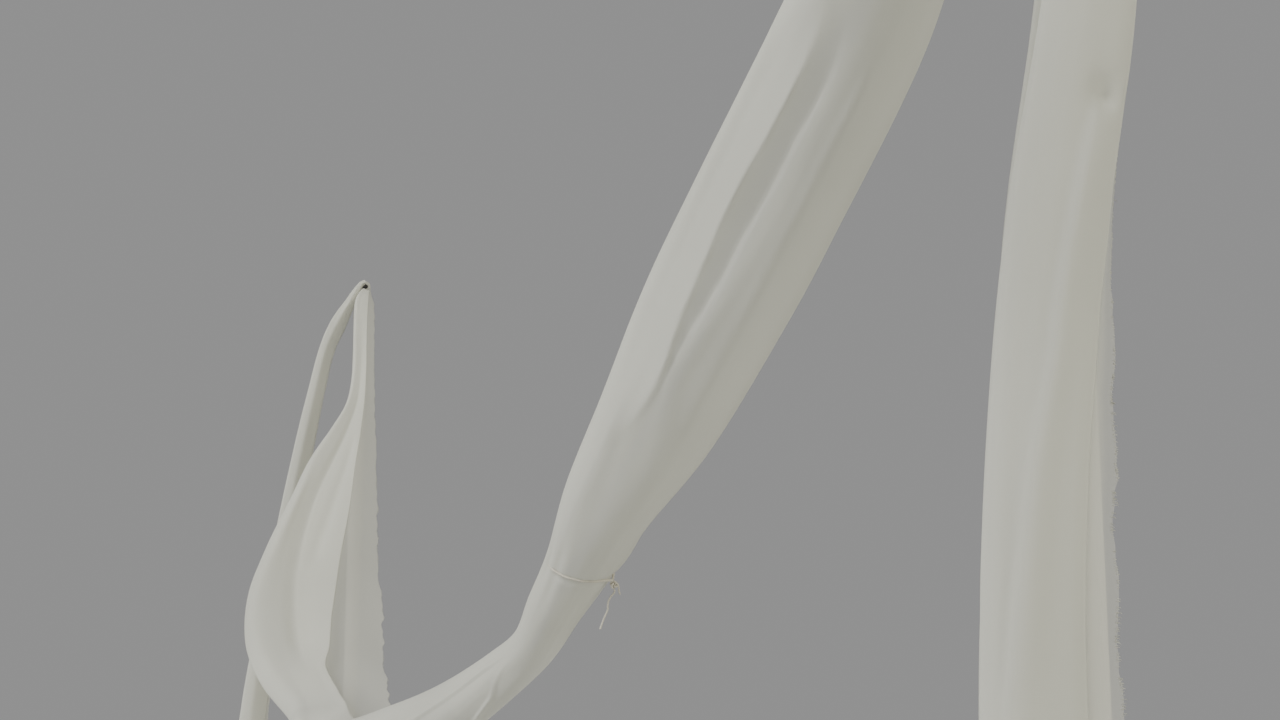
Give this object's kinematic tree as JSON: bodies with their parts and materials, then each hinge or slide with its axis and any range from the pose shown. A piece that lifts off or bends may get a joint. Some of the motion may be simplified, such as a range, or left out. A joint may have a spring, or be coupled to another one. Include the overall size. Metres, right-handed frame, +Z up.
{
  "type": "chuppah canopy",
  "caption": "Open four-pole wedding canopy with gathered white scarves hung from pole to pole, a tied side swag, long front drops and loose back tails.",
  "frame": {"origin": "floor point midway between the four poles, at the underside of the base plates", "axes": "+Z up, front is -Y, the right side is +X; the left side mirrors the right side across X = 0"},
  "size_m": [3.45, 3.45, 2.4357],
  "materials": {
    "steel": "satin off-white powder coat",
    "hardware": "brushed",
    "dark_steel": "satin black",
    "wood": "off-white paint, satin, with the grain showing faintly",
    "cloth": "matte off-white voile, slightly sheer",
    "cord": "thin natural cord"
  },
  "bodies": {
    "root": {"front_right_base_plate": "steel", "front_right_socket": "steel", "front_right_clamp_screw": "hardware", "front_right_lower_pole": "wood", "front_right_ferrule": "hardware", "front_right_upper_pole": "wood", "front_right_cap": "hardware", "front_right_hanger": "dark_steel", "back_right_base_plate": "steel", "back_right_socket": "steel", "back_right_clamp_screw": "hardware", "back_right_lower_pole": "wood", "back_right_ferrule": "hardware", "back_right_upper_pole": "wood", "back_right_cap": "hardware", "back_right_hanger": "dark_steel", "back_left_base_plate": "steel", "back_left_socket": "steel", "back_left_clamp_screw": "hardware", "back_left_lower_pole": "wood", "back_left_ferrule": "hardware", "back_left_upper_pole": "wood", "back_left_cap": "hardware", "back_left_hanger": "dark_steel", "front_left_base_plate": "steel", "front_left_socket": "steel", "front_left_clamp_screw": "hardware", "front_left_lower_pole": "wood", "front_left_ferrule": "hardware", "front_left_upper_pole": "wood", "front_left_cap": "hardware", "front_left_hanger": "dark_steel", "right_front_drop": "cloth", "left_front_drop": "cloth", "right_side_swag": "cloth", "left_side_swag": "cloth", "right_back_tail": "cloth", "left_back_tail": "cloth", "front_valance": "cloth", "right_tie_band": "cord", "left_tie_band": "cord", "right_tie_loose_end": "cord", "left_tie_loose_end": "cord"}
  },
  "joints": []
}
